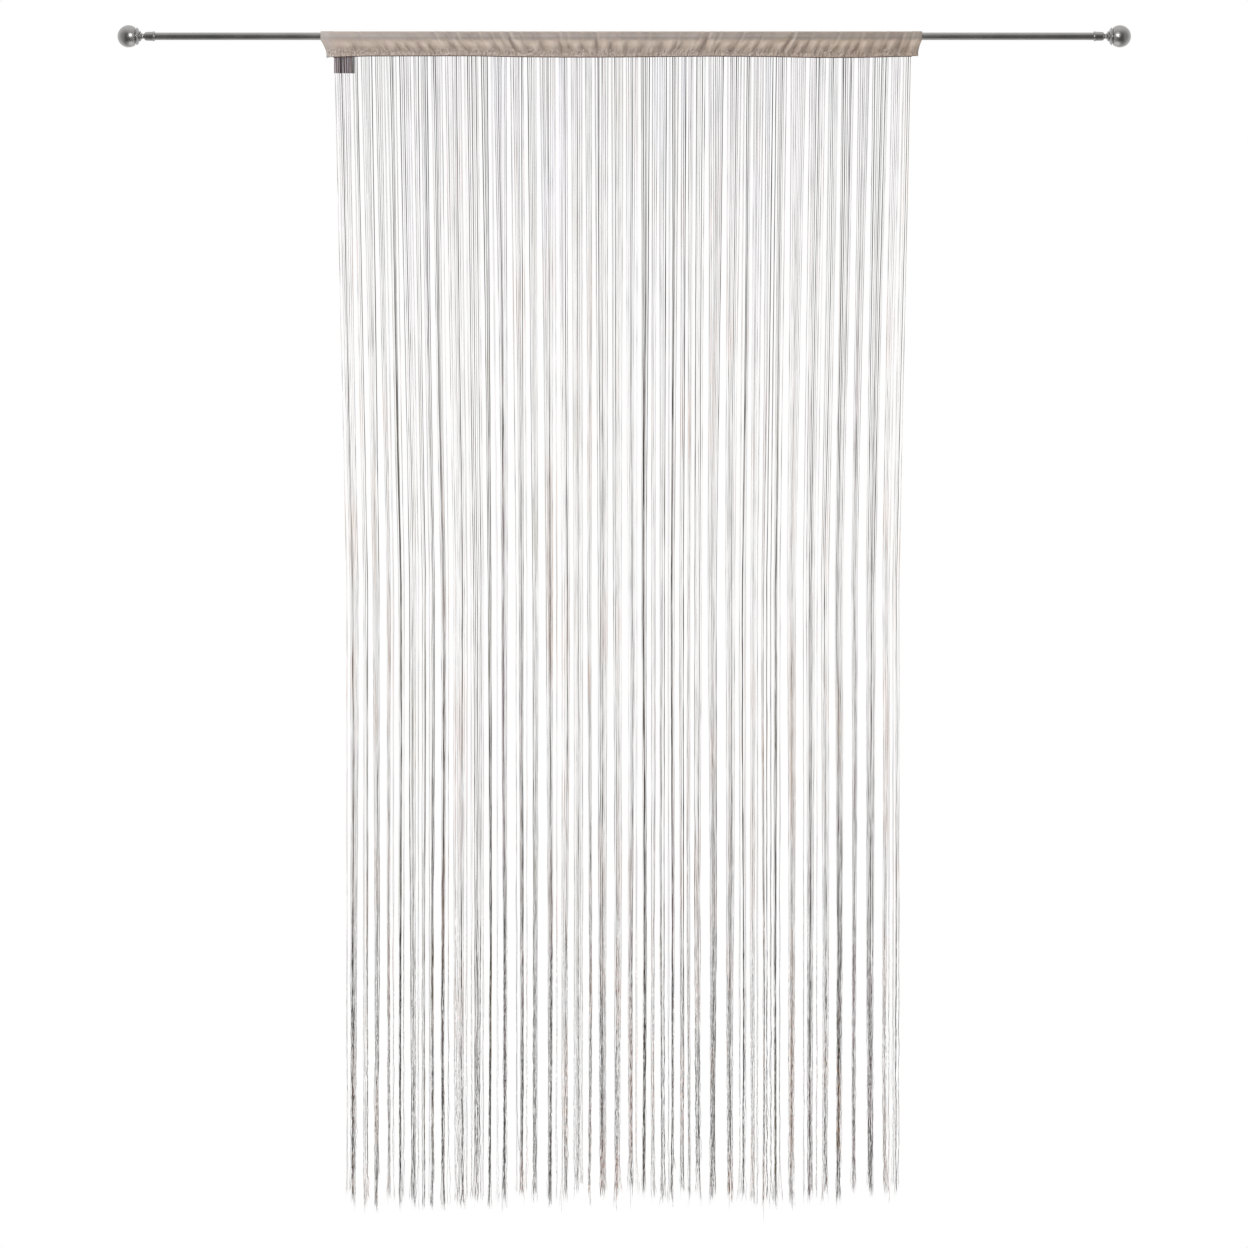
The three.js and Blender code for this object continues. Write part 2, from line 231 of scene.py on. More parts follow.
floor_paint, paint, sockets = new_material("pale_floor")
speck = paint.mottle(paint.place(), 40)
paint.put(sockets["Base Color"], paint.blend(speck, (0.24, 0.24, 0.24), (0.26, 0.26, 0.26)))
paint.put(sockets["Roughness"], 0.9)
paint.put(sockets["Emission Color"], (1.0, 1.0, 1.0))
paint.put(sockets["Emission Strength"], 0.80)
disc = bmesh.new()
bmesh.ops.create_circle(disc, cap_ends=True, segments=FLOOR_SIDES, radius=FLOOR_RADIUS)
bmesh.ops.translate(disc, vec=(0, 0, FLOOR_LEVEL), verts=disc.verts)
finish_piece("floor", disc, floor_paint, smooth=False)


# Rod: a straight drawn steel tube with a thin satin nickel plate. It is brushed along its length, which
# leaves fine lines that run with it, and its ends are cut square inside the collars.
ROD_RADIUS = 6.5
ROD_WALL = 1.0
ROD_HALF_LENGTH = 819
TURNED_SIDES = 64
SHARP_TURN = math.radians(12)
OUTLINE_WELD = 0.0001
POLE_WELD = 0.002
NICKEL_LIGHT = (0.57, 0.56, 0.55)
NICKEL_DARK = (0.47, 0.465, 0.46)


def turned_piece(name, outline, material, node, rounded=0.15, end=1, centre=0.0):
    """Spins an outline of along and radius round the rod's axis; along is measured towards the rod."""
    shape = bmesh.new()
    corners = [shape.verts.new((end * (centre - along), 0, radius)) for along, radius in outline]
    for pair in zip(corners, corners[1:]):
        shape.edges.new(pair)
    if outline[0] == outline[-1]:
        bmesh.ops.remove_doubles(shape, verts=shape.verts, dist=OUTLINE_WELD)
    sharp = [v for v in shape.verts if len(v.link_edges) == 2 and turn_at(v) > SHARP_TURN]
    bmesh.ops.bevel(shape, geom=sharp, offset=rounded, segments=2, profile=0.5,
                    affect="VERTICES", material=-1)
    bmesh.ops.spin(shape, geom=shape.verts[:] + shape.edges[:], cent=(0, 0, 0), axis=(1, 0, 0),
                   steps=TURNED_SIDES, angle=math.tau, use_merge=True, use_duplicate=False)
    bmesh.ops.remove_doubles(shape, verts=shape.verts, dist=POLE_WELD)
    bmesh.ops.recalc_face_normals(shape, faces=shape.faces)
    return finish_piece(name, shape, material, node, "satin_metal")


def turn_at(corner):
    """How far the outline turns at a corner."""
    a, b = [(edge.other_vert(corner).co - corner.co).normalized() for edge in corner.link_edges]
    return math.pi - a.angle(b)


def nickel(name, grain_scale):
    """Satin nickel: brushed lines of one direction, slightly uneven gloss and faint handling marks."""
    material, plate, sockets = new_material(name)
    place = plate.place()
    lines = plate.mottle(place, grain_scale, 3.0)
    cloud = plate.mottle(place, 22.0, 3.0)
    share = (lines - 0.5) * 0.9 + cloud
    plate.put(sockets["Base Color"], plate.blend(share.rise(0.2, 0.85), NICKEL_DARK, NICKEL_LIGHT))
    plate.put(sockets["Metallic"], 1.0)
    plate.put(sockets["Roughness"], lines * 0.12 + cloud * 0.10 + 0.25)
    plate.put(sockets["Normal"], plate.relief(lines, strength=0.12, depth=0.03))
    return material


brushed_nickel = nickel("nickel_brushed_along", (9.0, 2600.0, 2600.0))
turned_nickel = nickel("nickel_turned", (2600.0, 30.0, 30.0))

bore = ROD_RADIUS - ROD_WALL
turned_piece("rod", [
    (-ROD_HALF_LENGTH, bore), (-ROD_HALF_LENGTH, ROD_RADIUS), (ROD_HALF_LENGTH, ROD_RADIUS),
    (ROD_HALF_LENGTH, bore), (-ROD_HALF_LENGTH, bore)], brushed_nickel, "rod_tube")


# Finials and collars: turned metal. A hollow ball ends in a bead, a cove and a slim neck, whose spigot
# plugs into a collar, and the collar is pushed over the rod's end against a small lip.
BALL_RADIUS = 19
BALL_CENTRE = 850
BALL_STEPS = 26
BALL_ENDS_AT = 54
NECK_RADIUS = 4.3
NECK_END = 26
SPIGOT_RADIUS = 3
SPIGOT_END = 30.4
FIT = 0.35
FINIAL_MOULDING = [
    (11.5, 14.0), (11.7, 13.0), (12.3, 12.7), (13.0, 12.9), (13.2, 14.0), (13.5, 15.0), (14.1, 15.2),
    (14.9, 14.8), (16.2, 13.7), (17.4, 12.1), (18.0, 10.4), (18.3, 8.7), (18.8, 8.1), (19.4, 8.3),
    (20.0, 9.1), (20.7, 8.7), (21.8, 6.7), (22.8, 5.3), (23.8, 4.6), (24.8, NECK_RADIUS),
]
COLLAR_OUTLINE = [
    (27.2, 5.5), (28.3, 6.7), (29.4, 7.3), (31.0, 7.55), (41.8, 7.9), (42.2, 8.4), (42.9, 8.6),
    (43.7, 8.6), (44.4, 8.4), (44.8, 8.0),
]

ball = []
for step in range(BALL_STEPS + 1):
    angle = math.radians(180 + (BALL_ENDS_AT - 180) * step / BALL_STEPS)
    ball.append((BALL_RADIUS * math.cos(angle), BALL_RADIUS * math.sin(angle) if step else 0.0))
finial_outline = [
    *ball, *FINIAL_MOULDING, (NECK_END, NECK_RADIUS), (NECK_END, SPIGOT_RADIUS),
    (SPIGOT_END, SPIGOT_RADIUS), (SPIGOT_END, 0.0),
]
collar_front = NECK_END + FIT
spigot_hole = SPIGOT_RADIUS + FIT
socket_radius = ROD_RADIUS + FIT
socket_floor = BALL_CENTRE - ROD_HALF_LENGTH - FIT
collar_outline = [
    (collar_front, spigot_hole), (collar_front, NECK_RADIUS), *COLLAR_OUTLINE, (44.8, socket_radius),
    (socket_floor, socket_radius), (socket_floor, spigot_hole), (collar_front, spigot_hole),
]
for side, end in (("left", -1), ("right", 1)):
    turned_piece(f"finial_{side}_turned", finial_outline, turned_nickel, f"finial_{side}",
                 rounded=0.08, end=end, centre=BALL_CENTRE)
    turned_piece(f"collar_{side}_turned", collar_outline, turned_nickel, f"ferrule_{side}",
                 rounded=0.08, end=end, centre=BALL_CENTRE)


# Heading: a band of taupe satin folded over the rod, with its two lower edges stitched together over the
# string tape. The seam draws the cloth into uneven puckers that fade out as they climb to the rod.
HEADING_LEFT = -510.5
HEADING_RIGHT = 504
HEADING_COLUMNS = 720
SATIN_THICKNESS = 0.55
ROD_POCKET = 8.2
WRAP_STARTS_AT = -15
WRAP_ENDS_AT = 90
WRAP_ROWS = 11
WALL_ROWS = 13
FLAP_ROWS = 4
SEAM_TOP = -28.4
STITCH_LINE = -31.0
FLAP_BOTTOM = -34.8
HALF_AT_SEAM = 1.75
HALF_AT_STITCHES = 1.35
HALF_AT_EDGE = 1.95
BACK_SHARE = 0.7
PUCKER_HEIGHT = 1.4
GATHER_TOP = -3
GATHER_LEAST_TOP = -15
PINCH_TOP = -19
LEAN_TOP = -6
CREASE_FOOT = (-34, -14)
CREASE_HEAD = (9.5, 5.5)
LIT_RIDGE_FROM = (-16, -8)
HEM_WIDTH = 21
HEM_FOLD = 0.28
END_DROOPS_FROM = -500

# Puckers at the seam from left to right: crests stand out and troughs lie in
PUCKERS = [
    (-510.5, 0.0), (-496, 0.3), (-485.8, -0.2), (-473.8, 0.8), (-461.8, -0.7), (-439.5, 0.7), (-418, -0.5),
    (-410, 0.1), (-405.2, -0.8), (-396.6, 1.1), (-382.9, -0.9), (-375.2, 0.9), (-367.4, -0.8),
    (-357.1, 1.2), (-345.1, -1.2), (-336.6, 1.5), (-328.0, -1.1), (-309.1, 1.3), (-286.8, -1.2),
    (-278.3, 1.3), (-269.7, -0.9), (-250.8, 1.1), (-244.0, -0.6), (-228.5, 1.3), (-214.8, -1.0),
    (-206.2, 1.1), (-195.9, -0.4), (-189.1, 0.5), (-183.9, -1.7), (-173.6, 1.6), (-163.4, -1.0),
    (-149.6, 1.7), (-138.5, -1.2), (-122.2, 1.0), (-105.0, -0.8), (-98.2, 0.2), (-91.3, -0.9),
    (-81.0, 1.5), (-70.7, -1.1), (-57.0, 1.2), (-45.0, -1.1), (-33.0, 1.5), (-22.7, -1.2), (-5.6, 1.5),
    (3.0, -0.8), (18.4, 1.0), (27.9, -0.7), (44.2, 0.9), (59.6, -0.9), (75.0, 1.3), (84.5, -0.9),
    (88, -0.2), (92.2, -0.9), (114.5, 1.3), (133.3, -1.6), (145.3, 1.7), (157.4, -1.1), (169.4, 1.1),
    (183.1, -0.8), (196.8, 0.9), (205.4, -0.7), (213.9, 1.3), (222.5, -0.9), (231.1, 1.0), (246.5, -0.8),
    (262.0, 1.1), (270.5, -1.0), (277.4, 1.5), (287.7, -1.2), (296.3, 1.2), (306.6, -1.0), (318.6, 1.3),
    (327.1, -0.5), (334.0, 0.8), (344.3, -0.7), (352.9, 1.1), (361.4, -0.9), (370.0, 1.4), (380.3, -0.6),
    (387.2, 0.6), (395.7, -1.1), (406.0, 1.5), (419.7, -0.9), (433.5, 0.8), (443.8, -0.9), (453.2, 1.4),
    (466.1, -1.1), (474, -0.3), (483.2, -0.8), (491.8, 1.3), (504, 0.0),
]
# How far the creases lean, sideways for each step up
LEANS = [
    (-510, -0.45), (-460, -0.2), (-400, -0.55), (-200, -0.6), (-120, -0.25), (0, 0.0), (60, 0.3),
    (140, 0.45), (280, 0.6), (400, 0.45), (504, 0.3),
]
# How far the lower edge rides above or below its usual height
EDGE_WAVES = [
    (-510, -0.8), (-440, 1.3), (-260, 1.6), (-190, 0.1), (-100, -0.7), (0, -0.4), (60, 0.3), (150, 1.0),
    (250, 0.4), (330, -1.3), (400, -1.2), (450, 0.1), (504, 1.1),
]
# Longer creases that reach up over the rod: place at the seam, depth and width
LONG_CREASES = [
    (-448, 0.6, 4.0), (-401, 0.4, 3.0), (-311, 0.8, 3.5), (-291, 0.5, 3.0), (-273, 1.0, 3.5),
    (-251, 0.6, 2.6), (-234, 0.8, 2.8), (-213, 0.8, 2.6), (-198, 0.9, 2.6), (-184, 1.2, 3.2),
    (-166, 0.7, 2.4), (-148, 0.6, 3.0), (-107, 0.9, 3.0), (-94, 0.7, 2.6), (-72, 0.5, 2.6),
    (-46, 0.9, 2.8), (-12, 0.5, 2.6), (35, 0.6, 3.4), (84, 0.5, 2.6), (118, 0.6, 2.6),
    (131, 1.2, 3.4), (149, 0.9, 3.0), (187, 0.8, 3.0), (222, 0.5, 2.6), (272, 1.3, 3.6),
    (306, 0.5, 2.6), (352, 0.6, 3.2), (395, 0.5, 2.6), (436, 0.7, 3.4), (468, 0.8, 2.6),
    (484, 0.7, 2.4),
]


def clamp(value, low, high):
    return max(low, min(high, value))


def lerp(a, b, share):
    return a + (b - a) * share


def ramp(value, start, end):
    """0 up to start, 1 from end on and a straight step between; end may be the lower one."""
    return clamp((value - start) / (end - start), 0, 1)


def rough(a, b, seed):
    """Smooth noise from about -1 to 1 over two coordinates, with its own pattern for each seed."""
    return noise.noise(Vector((a, b, seed)))


def along(table, x):
    """A table's second column at x, on straight lines between its rows."""
    if x <= table[0][0]:
        return table[0][1]
    for (x0, v0), (x1, v1) in zip(table, table[1:]):
        if x <= x1:
            return lerp(v0, v1, (x - x0) / (x1 - x0))
    return table[-1][1]


def pucker(x):
    """Height of the puckers at the seam: broad crests and narrow troughs."""
    for (x0, v0), (x1, v1) in zip(PUCKERS, PUCKERS[1:]):
        if x <= x1:
            share = (x - x0) / (x1 - x0)
            soft = (1 - math.cos(math.pi * share)) / 2
            from_trough = share if v1 > v0 else 1 - share
            tight = math.sin(from_trough * math.pi / 2)
            tight = tight if v1 > v0 else 1 - tight
            return lerp(v0, v1, 0.5 * soft + 0.5 * tight)
    return PUCKERS[-1][1]


def reach(x):
    """How high the puckers climb at x: some nearly to the rod, others fade out halfway."""
    return clamp(GATHER_TOP - 5.5 - 9.0 * rough(x / 21.0, 2.5, 7.5), GATHER_LEAST_TOP, GATHER_TOP)


def long_creases(x, z):
    """What the long creases add at one place of the front, and how much of their lit ridges lies there."""
    height = lit_ridge = 0.0
    climb = ramp(z, *CREASE_FOOT) * ramp(z, *CREASE_HEAD)
    for place, deep, wide in LONG_CREASES:
        off = (x - place) / wide
        if abs(off) < 3:
            ridge = deep * math.exp(-((off - 1.5) / 0.8) ** 2) * climb
            height += 0.5 * ridge - deep * math.exp(-off * off) * climb
            lit_ridge += ridge * ramp(z, *LIT_RIDGE_FROM)
    return height, lit_ridge


def heading_path():
    """The cloth from the front edge up over the rod to the back edge: side, half depth, height, turn."""
    low = math.radians(WRAP_STARTS_AT)
    wall_top = (ROD_POCKET * math.cos(low), ROD_POCKET * math.sin(low))
    half = []
    for n in range(FLAP_ROWS):
        t = n / FLAP_ROWS
        half.append((lerp(HALF_AT_EDGE, HALF_AT_STITCHES, t), lerp(FLAP_BOTTOM, STITCH_LINE, t), 0.0))
    half.append((HALF_AT_STITCHES, STITCH_LINE, 0.0))
    for n in range(WALL_ROWS):
        t = n / WALL_ROWS
        half.append((lerp(HALF_AT_SEAM, wall_top[0], t), lerp(SEAM_TOP, wall_top[1], t), 0.0))
    for n in range(WRAP_ROWS):
        turn = math.radians(lerp(WRAP_STARTS_AT, WRAP_ENDS_AT, n / WRAP_ROWS))
        half.append((ROD_POCKET * math.cos(turn), ROD_POCKET * math.sin(turn), turn))
    front = [(-1, *row) for row in half]
    back = [(1, *row) for row in reversed(half)]
    return front + [(0, 0.0, ROD_POCKET, math.radians(WRAP_ENDS_AT))] + back


def satin_point(x, side, half, z, turn):
    """A point of the cloth, and how far it rises or sinks there, which sets the painted light and shade of
    its creases.
    """
    from_end = min(x - HEADING_LEFT, HEADING_RIGHT - x)
    inside = ramp(from_end, 0, HEM_WIDTH)
    on_flap = ramp(z, SEAM_TOP, FLAP_BOTTOM)
    low = ramp(z, GATHER_TOP, SEAM_TOP) ** 2
    swell = math.sin(math.pi * ramp(z, reach(x), SEAM_TOP)) ** 0.8
    pinch = ramp(z, PINCH_TOP, SEAM_TOP) * (1 - 0.6 * on_flap)

    ripple = 0.8 * rough(x / 7.0, z / 26.0, 3.0 + side) + 0.35 * rough(x / 3.1, z / 14.0, 9.0 + side)
    wrinkle = rough(x / 3.4, z / 17.0, 29.0 + side)
    wave = rough(x * 0.009, z / 40.0, 17.0 + side)
    height = PUCKER_HEIGHT * pucker(x) * (swell + low * 0.45 * (1 - 0.5 * on_flap))
    height += ripple * (0.12 + 0.88 * low) * (0.35 + 0.65 * inside)
    height += 2.1 * wrinkle * pinch * (0.3 + 0.7 * inside) + 0.35 * wave * swell
    creased, lit_ridge = long_creases(x, z) if side <= 0 else (0.0, 0.0)
    height += creased + HEM_FOLD * ramp(from_end, HEM_WIDTH, HEM_WIDTH - 1.5)
    if side > 0:
        height *= BACK_SHARE
    if z > GATHER_TOP:
        height = max(height, -0.9)

    lean = along(LEANS, x)
    sideways = lean * (LEAN_TOP - SEAM_TOP) * ramp(z, SEAM_TOP, LEAN_TOP) ** lerp(1.5, 1.0, inside)
    if z > LEAN_TOP:
        sideways += lean * 0.7 * (z - LEAN_TOP) * (1 if side < 0 else 0.3) * inside
    lift = along(EDGE_WAVES, x)
    if x < END_DROOPS_FROM:
        lift -= 1.2 * ((END_DROOPS_FROM - x) / 10) ** 2
    point = (x + sideways, side * (half + math.cos(turn) * height),
             z + lift * ramp(z, 0, SEAM_TOP) + math.sin(turn) * height)
    return point, height + 1.5 * lit_ridge


path = heading_path()
lengths = [0.0]
for (s0, y0, z0, _), (s1, y1, z1, _) in zip(path, path[1:]):
    lengths.append(lengths[-1] + math.hypot(s1 * y1 - s0 * y0, z1 - z0))

cloth = bmesh.new()
bmesh.ops.create_grid(cloth, x_segments=HEADING_COLUMNS, y_segments=len(path) - 1, size=0.5)
weave_place = cloth.verts.layers.float_vector.new("cloth_place")
crease = cloth.verts.layers.float.new("crease")
for vert in cloth.verts:
    x = lerp(HEADING_LEFT, HEADING_RIGHT, vert.co.x + 0.5)
    row = round((vert.co.y + 0.5) * (len(path) - 1))
    side, _, z, _ = path[row]
    vert.co, light_and_shade_height = satin_point(x, *path[row])
    vert[weave_place] = (x * MM, lengths[row] * MM, 0)
    # Painted light and shade of the creases: how far the cloth rises or sinks, its lit ridges and fine
    # wrinkles near the seam
    vert[crease] = light_and_shade_height + rough(x / 2.4, z / 7.0, 43.0 + side) * lerp(0.6, 4.2, ramp(z, -17, SEAM_TOP))
bmesh.ops.recalc_face_normals(cloth, faces=cloth.faces)

SATIN_LIGHT = (0.475, 0.385, 0.325)
# A darker satin tone for the random patches, also the colour of the painted shade towards the seam
SATIN_DARK_AND_PAINTED_SEAM_SHADE = (0.345, 0.270, 0.225)
SATIN_OLIVE = (0.41, 0.36, 0.25)
SATIN_ROSE = (0.50, 0.37, 0.33)
# Painted shadow of the rod showing through the cloth: darker in streaks, lighter towards the left end
SATIN_ROD_SHADOW = (0.345, 0.305, 0.285)
SATIN_ROD_SHADOW_DEEP = (0.240, 0.212, 0.200)
SATIN_ROD_SHADOW_LEFT = (0.400, 0.362, 0.350)
# Painted light on the front-facing wall just below the rod
SATIN_LIT_BAND = (0.62, 0.52, 0.44)
SATIN_HEM = (0.46, 0.415, 0.395)
SATIN_RIGHT_SHADE = (0.90, 0.84, 0.74)
# Painted shade in the creases and painted highlight on their crests
CREASE_PAINTED_SHADE = (0.17, 0.130, 0.108)
CREASE_PAINTED_HIGHLIGHT = (0.66, 0.56, 0.48)
# Painted shade and painted highlight of the crumpled cloth near the seam
CRUMPLE_PAINTED_SHADE = (0.14, 0.105, 0.092)
CRUMPLE_PAINTED_HIGHLIGHT = (0.68, 0.60, 0.55)
FLOAT_THREAD = (0.62, 0.52, 0.45)

satin, weave, sockets = new_material("taupe_satin")
_, _, level = weave.parts(weave.place())
cloth_place = weave.carried("cloth_place", "Vector")
crease_shading_level = weave.carried("crease", "Fac")
over, length_way, _ = weave.parts(cloth_place)
patches = weave.mottle(cloth_place, (26.0, 60.0, 1.0), 4.0)
slubs = weave.mottle(cloth_place, (90.0, 2400.0, 1.0))
hue = weave.mottle(cloth_place, (34.0, 50.0, 1.0), 3.0)
streaks = weave.mottle(cloth_place, (48.0, 16.0, 1.0), 3.0)
climbing = weave.mottle(cloth_place, (70.0, 6.0, 1.0), 3.0) - 0.5
crumple_light_and_shade = weave.mottle(cloth_place, (430.0, 300.0, 1.0))
crumple_shading_patches = weave.mottle(cloth_place, (16.0, 8.0, 1.0)).rise(0.32, 0.60)
twill = (over * 5200.0 + length_way * 9000.0).sine()
threads = over.waves(0.42) * 0.5 + length_way.waves(0.36) * 0.35 + twill * 0.35

# Painted light and shade: where the rod lies behind the cloth, a greyer painted shadow of the rod shows
# through. Just below it, a painted lit band brightens the wall that faces the front. Painted shade darkens
# the wall towards the seam, and near the seam painted highlights and painted shade stand for the crumpled
# cloth.
# Painted shadow: a greyer band where the rod lies behind the cloth
rod_shadow_through = (level.size() + climbing * 0.014).rise(0.0088, 0.0040)
# Painted light: a lighter band just below the rod
lit_band = (level + climbing * 0.012).rise(-0.0050, -0.0105) * level.rise(-0.0200, -0.0140)
# Painted light and shade of the crumpled cloth near the seam, in patches
seam_crumple_shading = level.rise(-0.0170, -0.0265) * crumple_shading_patches
rod_shadow_colour = weave.blend(streaks.rise(0.32, 0.68), SATIN_ROD_SHADOW_DEEP, SATIN_ROD_SHADOW)
rod_shadow_colour = weave.blend(over.rise(-0.30, -0.42) * 0.7, rod_shadow_colour, SATIN_ROD_SHADOW_LEFT)
ground = weave.blend((patches * 0.7 + slubs * 0.3).rise(0.25, 0.75), SATIN_DARK_AND_PAINTED_SEAM_SHADE, SATIN_LIGHT)
for share, colour, blend_type in (
    (hue.rise(0.50, 0.72) * 0.45, SATIN_OLIVE, "MIX"),
    (hue.rise(0.50, 0.28) * 0.40, SATIN_ROSE, "MIX"),
    (rod_shadow_through * 0.75, rod_shadow_colour, "MIX"),
    (lit_band * 0.40, SATIN_LIT_BAND, "MIX"),
    # Painted shade: the wall darkens towards the seam
    (level.rise(-0.0150, -0.0270) * 0.70, SATIN_DARK_AND_PAINTED_SEAM_SHADE, "MIX"),
    (over.rise(-0.491, -0.500) * 0.6, SATIN_HEM, "MIX"),
    (over.rise(-0.05, 0.48) * 0.5, SATIN_RIGHT_SHADE, "MULTIPLY"),
    # Painted shade in the creases and painted highlights on their crests
    (crease_shading_level.rise(0.1, -2.0) * 0.62, CREASE_PAINTED_SHADE, "MIX"),
    (crease_shading_level.rise(0.3, 2.7) * 0.42, CREASE_PAINTED_HIGHLIGHT, "MIX"),
    # Painted highlights and painted shade of the crumples near the seam
    (seam_crumple_shading * crumple_light_and_shade.rise(0.52, 0.68) * 0.7, CRUMPLE_PAINTED_HIGHLIGHT, "MIX"),
    (seam_crumple_shading * crumple_light_and_shade.rise(0.47, 0.32) * 0.7, CRUMPLE_PAINTED_SHADE, "MIX"),
    (threads.rise(-1.2, 1.2) * 0.12, FLOAT_THREAD, "MIX"),
):
    ground = weave.blend(share, ground, colour, blend_type)
weave.put(sockets["Base Color"], ground)
weave.put(sockets["Roughness"], patches * 0.16 + 0.36)
weave.put(sockets["Specular IOR Level"], 0.55)
weave.put(sockets["Sheen Weight"], 0.25)
weave.put(sockets["Sheen Roughness"], 0.45)
weave.put(sockets["Sheen Tint"], (0.95, 0.90, 0.86))
weave.put(sockets["Normal"], weave.relief(threads * 0.5 + slubs, strength=0.35, depth=0.08))

heading = finish_piece("heading_cloth", cloth, satin, "heading", "heading_satin")
thickness = heading.modifiers.new("cloth_thickness", "SOLIDIFY")
thickness.thickness = SATIN_THICKNESS * MM
thickness.offset = 0


# Seam stitching: one row of lockstitch through both flaps and the tape, front and back, with a second
# short row up each side hem. Each stitch is a small bead of thread half sunk in the cloth.
STITCH_PITCH = 2.6
STITCH_SIZE = (0.85, 0.16, 0.17)
HEM_STITCH_SIZE = (0.16, 0.16, 0.75)
STITCH_STANDS_OUT = 0.55
FIRST_STITCH = 3
HEM_ROW_FROM_END = HEM_WIDTH - 2
THREAD_DEEP = (0.36, 0.29, 0.25)
THREAD_LIGHT = (0.56, 0.48, 0.42)

stitches = bmesh.new()


def add_stitch(x, side, half, z, size):
    (px, py, pz), _ = satin_point(x, side, half, z, 0.0)
    made = bmesh.ops.create_icosphere(stitches, subdivisions=1, radius=1.0)["verts"]
    bmesh.ops.scale(stitches, vec=size, verts=made)
    bmesh.ops.translate(
        stitches, vec=(px, py + side * SATIN_THICKNESS * STITCH_STANDS_OUT, pz), verts=made)


x = HEADING_LEFT + FIRST_STITCH
while x < HEADING_RIGHT - FIRST_STITCH:
    for side in (-1, 1):
        add_stitch(x, side, HALF_AT_STITCHES, STITCH_LINE, STITCH_SIZE)
    x += STITCH_PITCH
for hem_x in (HEADING_LEFT + HEM_ROW_FROM_END, HEADING_RIGHT - HEM_ROW_FROM_END):
    for side, half, z, turn in path:
        if turn == 0.0 and z > STITCH_LINE and side:
            add_stitch(hem_x, side, half, z, HEM_STITCH_SIZE)

thread, twist, sockets = new_material("sewing_thread")
strands = twist.mottle(twist.place(), (2400.0, 900.0, 2400.0))
twist.put(sockets["Base Color"], twist.blend(strands, THREAD_DEEP, THREAD_LIGHT))
twist.put(sockets["Roughness"], 0.55)
twist.put(sockets["Normal"], twist.relief(strands, strength=0.3, depth=0.05))
finish_piece("seam_stitching", stitches, thread, None, "heading_satin")


# String tape: a narrow woven strip between the two flaps, in a dark reddish brown. Only its lower edge
# shows, as a dark line under the heading, and every string is woven into it.
TAPE_HALF = 0.8
TAPE_TOP = -30.4
TAPE_BOTTOM = -35.2
TAPE_EDGE = -36.0
TAPE_LEFT = -500
TAPE_RIGHT = 493
TAPE_PIECES = 240
TAPE_ROUNDED = 0.35
SCALLOP = 0.18
SCALLOP_PITCH = 4.14
TAPE_DEEP = (0.085, 0.048, 0.045)
TAPE_LIGHT = (0.21, 0.135, 0.12)

tape = bmesh.new()
tape_length = TAPE_RIGHT - TAPE_LEFT
bmesh.ops.create_cube(tape, size=1.0)
bmesh.ops.scale(tape, vec=(tape_length, 2 * TAPE_HALF, TAPE_TOP - TAPE_EDGE), verts=tape.verts)
long_edges = [e for e in tape.edges if abs((e.verts[0].co - e.verts[1].co).x) > 1]
bmesh.ops.bevel(tape, geom=long_edges, offset=TAPE_ROUNDED, segments=2, profile=0.5,
                affect="EDGES", material=-1)
for n in range(1, TAPE_PIECES):
    cut = tape_length * (n / TAPE_PIECES - 0.5)
    bmesh.ops.bisect_plane(tape, geom=tape.verts[:] + tape.edges[:] + tape.faces[:],
                           plane_co=(cut, 0, 0), plane_no=(1, 0, 0))
tape_middle = ((TAPE_LEFT + TAPE_RIGHT) / 2, 0, (TAPE_TOP + TAPE_EDGE) / 2)
bmesh.ops.translate(tape, vec=tape_middle, verts=tape.verts)
for vert in tape.verts:
    x, y, z = vert.co
    scallop = SCALLOP * math.sin(x * math.tau / SCALLOP_PITCH) if z < tape_middle[2] else 0
    vert.co = (x, y, z + along(EDGE_WAVES, x) + scallop)

tape_cloth, ribs, sockets = new_material("tape_weave")
over, _, level = ribs.parts(ribs.place())
picks = over.waves(1.1) * 0.5 + level.waves(0.6) * 0.5
flecks = ribs.mottle(ribs.place(), 700.0)
ribs.put(sockets["Base Color"], ribs.blend((picks * 0.3 + flecks).rise(0.1, 0.9), TAPE_DEEP, TAPE_LIGHT))
ribs.put(sockets["Roughness"], 0.8)
ribs.put(sockets["Normal"], ribs.relief(picks * 0.5 + flecks, strength=0.5, depth=0.15))
finish_piece("string_tape", tape, tape_cloth, "string_fringe", "string_yarn")


# Strings: thin polyester yarns woven into the tape three by three and left hanging. They start evenly spaced,
# drift together into tight and loose bunches as they fall, and end in ragged cuts with loose fibres.
STRING_COUNT = 240
STRING_LEFT = -498.4
STRING_RIGHT = 491.6
STRING_END = -1985
DROP = 1950
# Bunches: how many strings, how far apart they lie at the top and at the end, and in how many layers
BUNCH_LEAST = 3
BUNCH_SPREAD = 6
BUNCH_PITCHES = (1.20, 0.60)
BUNCH_WIDTHS = (0.8, 3.0)
BUNCH_CLOSED_AT = 1800
BUNCH_LAYERS = 3
LAYER_DEPTH = 1.2
# How soon and how fully a string joins its bunch
JOIN_FALL = (200, 1050)
JOIN_BEND = (0.7, 2.2)
ROOT_PULL = 0.14
TIGHT_PULL = (0.9, 1.0)
SLACK_PULL = (0.3, 0.6)
SLACK_BELOW = 0.8
SLACK_SHARE = 0.15
STRAY_PULL = (0.05, 0.35)
STRAY_SHARE = 0.45
# How the whole curtain sways and narrows
SWAY = 1.5
LEAST_SWAY_SHARE = 0.3
SWAY_FALL = 190
NARROWING = 0.04
NARROWING_FALL = 900
DEPTH_DRIFT = 4
DRIFT_WIDTH = 140
DRIFT_FALL = 620
